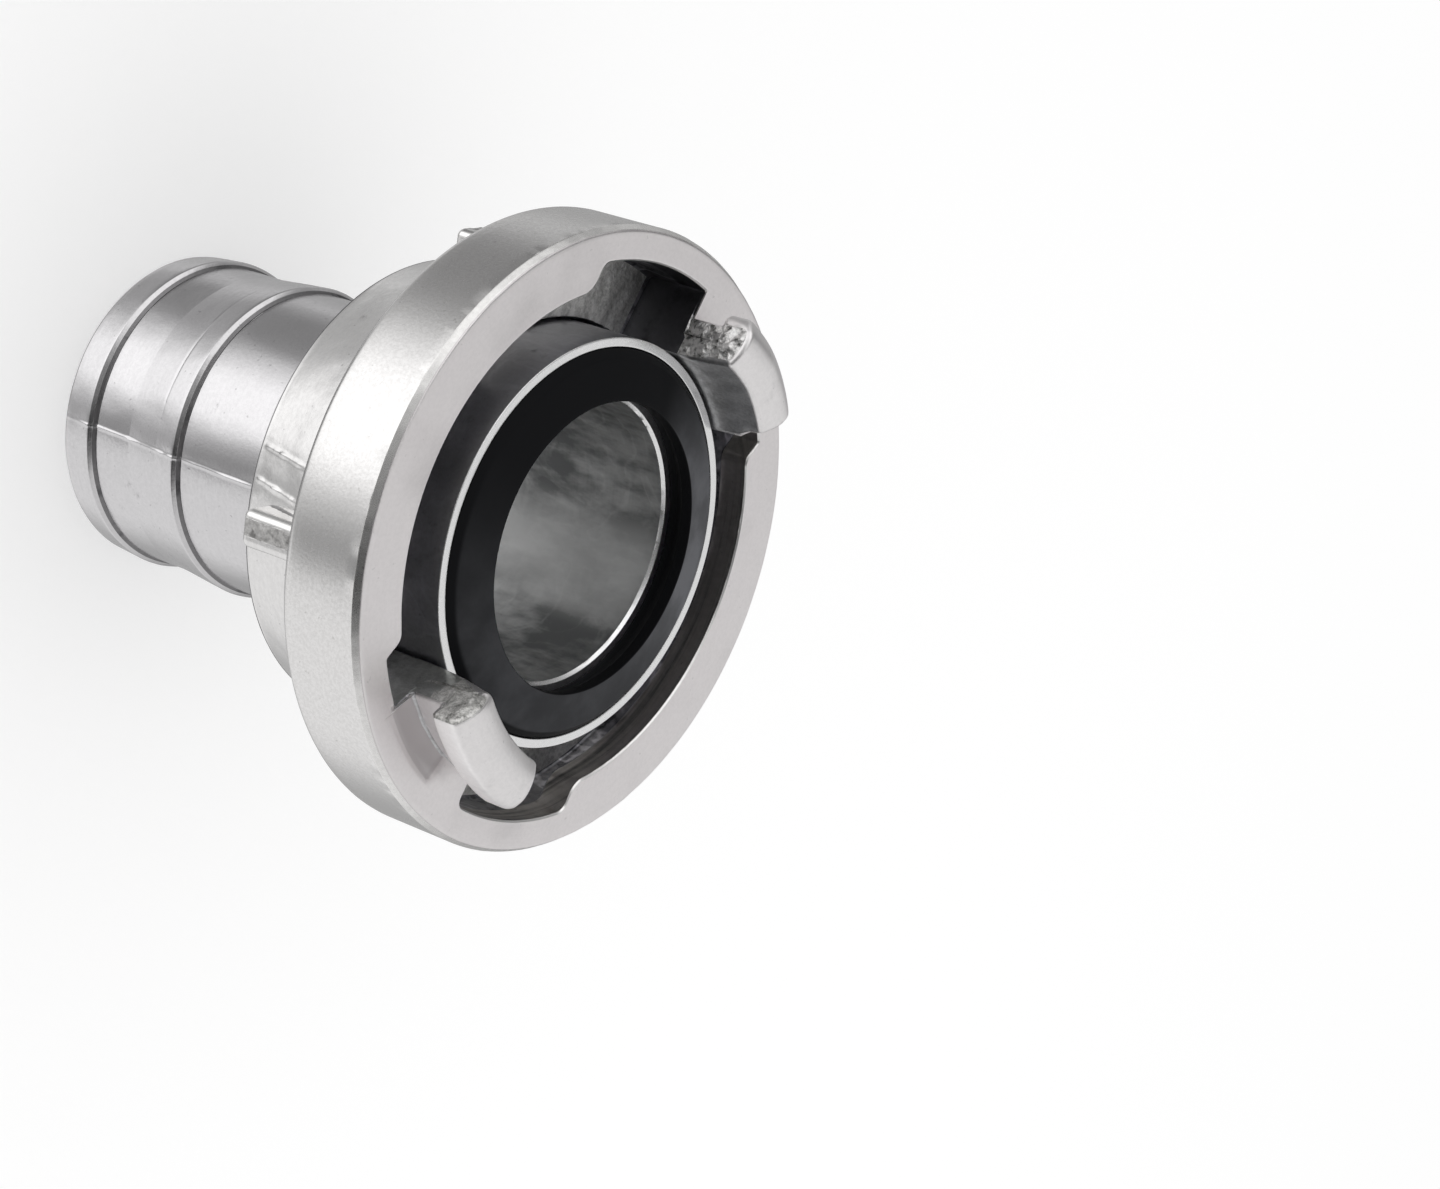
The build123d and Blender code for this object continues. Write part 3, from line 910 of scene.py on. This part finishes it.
def studio_brightness(tree, direction):
    """What metal sees of the studio: a white background with soft dark flags and one bright panel."""
    plain = 0.9
    parts = add(tree, "SeparateXYZ", {0: direction}).outputs
    level = calc(tree, "MAXIMUM", axis_distance(tree, parts), 0.001)

    def with_panels(total, panels):
        """Brightness with soft panels added."""
        for azimuth, full, faded, gain in panels:
            share = remap(tree, facing(tree, parts, level, azimuth), math.cos(math.radians(faded)),
                          math.cos(math.radians(full)))
            total = calc(tree, "MULTIPLY_ADD", share, gain, total)
        return total

    low_panels = [  # azimuth, full half-width, faded half-width, brightness added
        (101.7, 12, 34, 0.58),
        (31.0, 12, 40, -0.66),
        (140.0, 8, 24, -0.37),
        (149.0, 5, 11, -0.30),
        (298.0, 34, 72, -0.50),
    ]
    high_panels = [(130.0, 10, 62, -0.95), (-14.0, 14, 40, -0.85)]
    low = with_panels(plain, low_panels)
    high = with_panels(remap(tree, facing(tree, parts, level, 60.0), -0.5, 0.6, 0.76, 1.2), high_panels)

    # Further down the panels fade, and straight below it is darker
    deep = remap(tree, parts[2], -0.62, -0.85, 0.0, 0.35)
    low = calc(tree, "MULTIPLY_ADD", calc(tree, "SUBTRACT", plain, low), deep, low)
    low = calc(tree, "MULTIPLY", low, remap(tree, parts[2], -0.985, -0.91, 0.4, 1.0))
    above = remap(tree, parts[2], -0.1, 0.3)
    mixed = calc(tree, "ADD", calc(tree, "MULTIPLY", low, calc(tree, "SUBTRACT", 1.0, above)),
                 calc(tree, "MULTIPLY", above, high))
    return calc(tree, "MAXIMUM", mixed, 0.03)


def background():
    """White where the camera sees it, a little darker as light, and the studio in what metal mirrors."""
    world = bpy.data.worlds.new("studio")
    bpy.context.scene.world = world
    world.use_nodes = True
    world.cycles.sampling_method = "NONE"
    tree = world.node_tree
    path = add(tree, "LightPath").outputs
    mirrored = studio_brightness(tree, add(tree, "TexCoord").outputs["Generated"])
    seen = calc(tree, "MAXIMUM", path["Is Camera Ray"], path["Is Transmission Ray"])
    ambient = calc(tree, "MULTIPLY_ADD", seen, 0.15, 0.85)
    glossy = path["Is Glossy Ray"]
    strength = calc(tree, "ADD", calc(tree, "MULTIPLY", mirrored, glossy),
                    calc(tree, "MULTIPLY", ambient, calc(tree, "SUBTRACT", 1.0, glossy)))
    tree.links.new(strength, tree.nodes["Background"].inputs["Strength"])
    tree.nodes["Background"].inputs["Color"].default_value = (1, 1, 1, 1)


def pale_floor():
    """Floor that looks nearly white and that metal doesn't mirror."""
    material, tree, shader = new_material("pale_floor")
    shader.inputs["Base Color"].default_value = (0.72, 0.72, 0.72, 1)
    shader.inputs["Emission Color"].default_value = (1, 1, 1, 1)
    path = add(tree, "LightPath").outputs
    seen = calc(tree, "MAXIMUM", path["Is Camera Ray"], path["Is Transmission Ray"])
    seen = calc(tree, "MAXIMUM", seen, path["Is Glossy Ray"])
    tree.links.new(calc(tree, "MULTIPLY", seen, 0.33), shader.inputs["Emission Strength"])
    shader.inputs["Roughness"].default_value = 0.9
    shader.inputs["Specular IOR Level"].default_value = 0.0
    bpy.ops.mesh.primitive_plane_add(size=12.0, location=(0, 0, 0))
    floor = bpy.context.object
    floor.name = "floor"
    floor.data.materials.append(material)
    floor.visible_glossy = False


def soft_lamp():
    """Wide lamp above, for the soft shadow."""
    lamp = bpy.data.objects.new("soft_lamp", bpy.data.lights.new("soft_lamp", "AREA"))
    lamp.data.shape = "DISK"
    lamp.data.size = 1.2
    lamp.data.energy = 1.6
    lamp.location = (-0.35, -0.25, 1.1)
    lamp.rotation_euler = (Vector((0, 0, 0.05)) - lamp.location).to_track_quat("-Z", "Y").to_euler()
    lamp.visible_glossy = False
    bpy.context.scene.collection.objects.link(lamp)


def camera():
    """Camera of the photograph: it looks down on the coupling face and is rolled to its side."""
    azimuth, elevation, roll = math.radians(117.75), math.radians(34.237), math.radians(108.976)
    distance, right_shift, up_shift = 519.755, 20.806, -7.586
    forward = -Vector((math.cos(azimuth) * math.cos(elevation), math.sin(azimuth) * math.cos(elevation),
                       math.sin(elevation)))
    level = forward.cross(Vector((0, 0, 1))).normalized()
    upright = level.cross(forward)
    right = level * math.cos(roll) + upright * math.sin(roll)
    up = upright * math.cos(roll) - level * math.sin(roll)
    place = Vector((0, 0, face_z)) - forward * distance + right * right_shift + up * up_shift
    data = bpy.data.cameras.new("camera")
    data.sensor_width = 36
    data.lens = 85
    view = bpy.data.objects.new("camera", data)
    view.matrix_world = Matrix.Translation(place * MM) @ Matrix((right, up, -forward)).transposed().to_4x4()
    bpy.context.scene.collection.objects.link(view)
    bpy.context.scene.camera = view


lug_ring()
hose_tail()
pressure_seal()
for spot in frame["nodes"]["lock_ring"].material_slots:
    spot.material = wire_steel
background()
pale_floor()
soft_lamp()
camera()
bpy.context.scene.view_settings.view_transform = "Standard"
